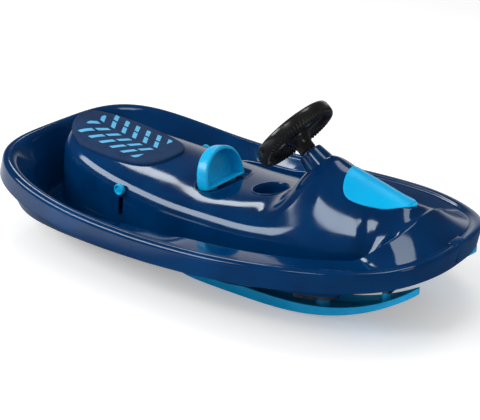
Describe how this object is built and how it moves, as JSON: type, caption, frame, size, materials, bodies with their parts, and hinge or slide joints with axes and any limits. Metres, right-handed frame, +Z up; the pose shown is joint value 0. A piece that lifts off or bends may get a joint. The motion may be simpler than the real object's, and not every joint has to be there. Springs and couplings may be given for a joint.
{
  "type": "snow sled",
  "caption": "Ride-on plastic snow sled with a raised seat, foot wells, a steering wheel that turns two front skis, and a pull-up claw brake.",
  "frame": {"origin": "on the ground under the middle of the sled's bounding box", "axes": "+X to the nose, +Y to the rider's left, +Z up"},
  "size_m": [0.987, 0.549, 0.3541],
  "materials": {
    "moulded_blue": "gloss",
    "moulded_cyan": "satin",
    "moulded_black": "matte",
    "zinc_steel": "zinc plated",
    "pad_foam": "matte foam"
  },
  "bodies": {
    "sled": {"hull_shell": "moulded_blue", "seat_pad": "pad_foam", "nose_inlay": "moulded_cyan", "column_bush": "moulded_black", "steering_carrier": "moulded_black", "carrier_screw_1": "zinc_steel", "carrier_screw_2": "zinc_steel", "carrier_screw_3": "zinc_steel", "carrier_screw_4": "zinc_steel", "kingpin_left": "zinc_steel", "kingpin_right": "zinc_steel", "kingpin_washer_left": "zinc_steel", "kingpin_washer_right": "zinc_steel", "kingpin_nut_left": "zinc_steel", "kingpin_nut_right": "zinc_steel", "brake_axle": "zinc_steel", "axle_cap_left": "moulded_cyan", "axle_cap_right": "moulded_cyan"},
    "steering": {"steering_wheel": "moulded_black", "wheel_hub_cap": "moulded_black", "wheel_screw": "zinc_steel", "steering_column": "zinc_steel", "column_retainer": "zinc_steel", "crank_arm": "zinc_steel", "crank_bolt": "zinc_steel"},
    "tie": {"tie_bar": "zinc_steel"},
    "ski_l": {"ski_left": "moulded_cyan", "tie_bar_pin_left": "zinc_steel"},
    "ski_r": {"ski_right": "moulded_cyan", "tie_bar_pin_right": "zinc_steel"},
    "brake": {"brake_lever": "moulded_black", "brake_handle": "moulded_cyan", "handle_screw_left": "zinc_steel", "handle_screw_right": "zinc_steel", "brake_claw_left": "zinc_steel", "brake_claw_right": "zinc_steel", "claw_rivet_1": "zinc_steel", "claw_rivet_2": "zinc_steel", "claw_rivet_3": "zinc_steel", "claw_rivet_4": "zinc_steel", "brake_spring": "zinc_steel"}
  },
  "joints": [
    {"name": "steering_turn", "type": "hinge", "parent": "sled", "child": "steering", "pos_m": [0.136, 0, 0.2845], "axis": [-0.766, 0, 0.6428], "range_deg": [-40, 40]},
    {"name": "tie_slide", "type": "slide", "parent": "sled", "child": "tie", "axis": [0, 1, 0], "range_m": [-0.0246, 0.0246]},
    {"name": "ski_left_swing", "type": "hinge", "parent": "sled", "child": "ski_l", "pos_m": [0.276, 0.105, 0], "axis": [0, 0, 1], "range_deg": [-10.5, 10.5]},
    {"name": "ski_right_swing", "type": "hinge", "parent": "sled", "child": "ski_r", "pos_m": [0.276, -0.105, 0], "axis": [0, 0, 1], "range_deg": [-10.5, 10.5]},
    {"name": "brake_pull", "type": "hinge", "parent": "sled", "child": "brake", "pos_m": [-0.18405, 0, 0.139], "axis": [0, -1, 0], "range_deg": [0, 15], "stiffness_Nm_per_rad": 3, "springref_deg": -8.59, "deforming": ["brake_spring"]}
  ],
  "couplings": [
    {"joint": "tie_slide", "follows": "steering_turn", "m_per_rad": 0.03223},
    {"joint": "ski_left_swing", "follows": "steering_turn", "ratio": 0.24725},
    {"joint": "ski_right_swing", "follows": "steering_turn", "ratio": 0.24725}
  ]
}
